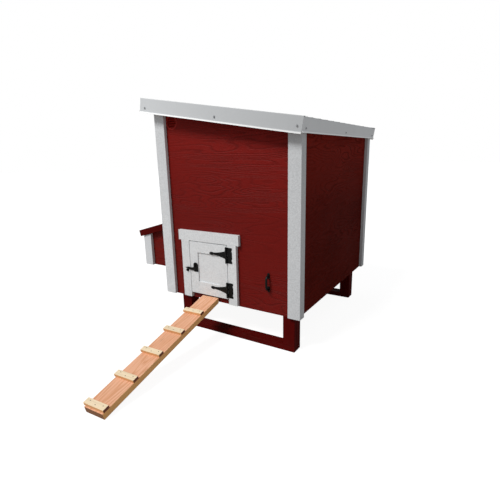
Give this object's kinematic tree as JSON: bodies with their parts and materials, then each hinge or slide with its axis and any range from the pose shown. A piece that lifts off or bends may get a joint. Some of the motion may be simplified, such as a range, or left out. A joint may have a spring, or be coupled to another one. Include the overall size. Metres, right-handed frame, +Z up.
{
  "type": "chicken coop",
  "caption": "Small raised hen house on skids with a lean-to roof, a framed pop door with strap hinges and turn latch, a side nest box with lifting lid and a cleated ramp.",
  "frame": {"origin": "middle of the whole footprint (roof, nest box and lowered ramp included), at ground level", "axes": "+Z up, +Y from the front wall to the rear wall, +X to the right seen from the front; the nest box is at -X and the ramp runs out towards -Y"},
  "size_m": [1.5192, 2.4934, 1.6559],
  "materials": {
    "red_siding": "barn-red painted boards with embossed grain, satin",
    "white_trim": "white painted wood, satin",
    "red_timber": "dark red stained timber",
    "framing_pine": "raw planed pine",
    "plywood": "raw plywood",
    "edge_metal": "light grey coated sheet steel",
    "roof_metal": "light grey coated sheet steel with low ribs",
    "zinc": "zinc plated",
    "black_iron": "black powder coat, satin",
    "red_vent": "painted over in the wall's red",
    "cedar": "raw cedar board",
    "pale_pine": "raw pale pine"
  },
  "bodies": {
    "house": {"skid_front": "red_timber", "legs_front": "red_timber", "skid_rear": "red_timber", "legs_rear": "red_timber", "floor_joists": "framing_pine", "floor_deck": "plywood", "wall_front": "red_siding", "wall_rear": "red_siding", "wall_left": "red_siding", "wall_right": "red_siding", "corner_posts": "framing_pine", "top_plates": "framing_pine", "rafters": "framing_pine", "corner_boards_front": "white_trim", "corner_boards_rear": "white_trim", "corner_returns": "white_trim", "round_vents": "red_vent", "roof_deck": "plywood", "fascia_boards": "framing_pine", "roof_sheet": "roof_metal", "rake_trim_front": "edge_metal", "rake_trim_rear": "edge_metal", "eave_trim_high": "edge_metal", "eave_trim_low": "edge_metal", "roof_screws": "zinc", "pop_door_header": "white_trim", "pop_door_jambs": "white_trim", "rear_door_casing": "white_trim", "tee_hinge_leaves": "black_iron", "latch_keepers": "black_iron", "pull_handle": "black_iron", "nest_ends": "red_siding", "nest_face": "red_siding", "nest_floor": "plywood", "nest_dividers": "plywood", "nest_corner_boards": "white_trim", "nest_hinge_leaves": "black_iron", "hinge_pins": "black_iron", "roost_bars": "framing_pine", "roost_brackets": "framing_pine", "ramp_hooks": "black_iron"},
    "pop_door": {"pop_door_panel": "white_trim", "pop_door_stiles": "white_trim", "pop_door_rails": "white_trim", "pop_door_straps": "black_iron", "pop_door_latch_plate": "black_iron"},
    "pop_latch": {"pop_door_latch_bar": "black_iron"},
    "keeper_door": {"rear_door_panel": "white_trim", "rear_door_stiles": "white_trim", "rear_door_rails": "white_trim", "rear_door_straps": "black_iron", "rear_door_latch_plate": "black_iron"},
    "keeper_latch": {"rear_door_latch_bar": "black_iron"},
    "nest_lid": {"nest_lid_board": "red_timber", "nest_lid_frame": "red_timber", "nest_lid_leaves": "black_iron"},
    "ramp": {"ramp_board": "cedar", "ramp_cleats": "pale_pine", "ramp_nails": "zinc", "ramp_hanger": "zinc"}
  },
  "joints": [
    {"name": "pop_door_swing", "type": "hinge", "parent": "house", "child": "pop_door", "pos_m": [0.18449, -0.20332, 0.4805], "axis": [0, 0, 1], "range_deg": [0, 155]},
    {"name": "pop_latch_turn", "type": "hinge", "parent": "pop_door", "child": "pop_latch", "pos_m": [-0.08851, -0.20282, 0.471], "axis": [0, 1, 0], "range_deg": [-6, 80]},
    {"name": "keeper_door_swing", "type": "hinge", "parent": "house", "child": "keeper_door", "pos_m": [-0.07851, 1.21668, 0.659], "axis": [0, 0, 1], "range_deg": [0, 155]},
    {"name": "keeper_latch_turn", "type": "hinge", "parent": "keeper_door", "child": "keeper_latch", "pos_m": [0.35849, 1.21618, 0.669], "axis": [0, -1, 0], "range_deg": [-6, 80]},
    {"name": "nest_lid_lift", "type": "hinge", "parent": "house", "child": "nest_lid", "pos_m": [-0.37724, 0.50668, 0.79293], "axis": [0, 1, 0], "range_deg": [0, 106]},
    {"name": "ramp_lift", "type": "hinge", "parent": "house", "child": "ramp", "pos_m": [0.02733, -0.18133, 0.266], "axis": [-0.9987, -0.0506, 0], "range_deg": [0, 30]}
  ]
}
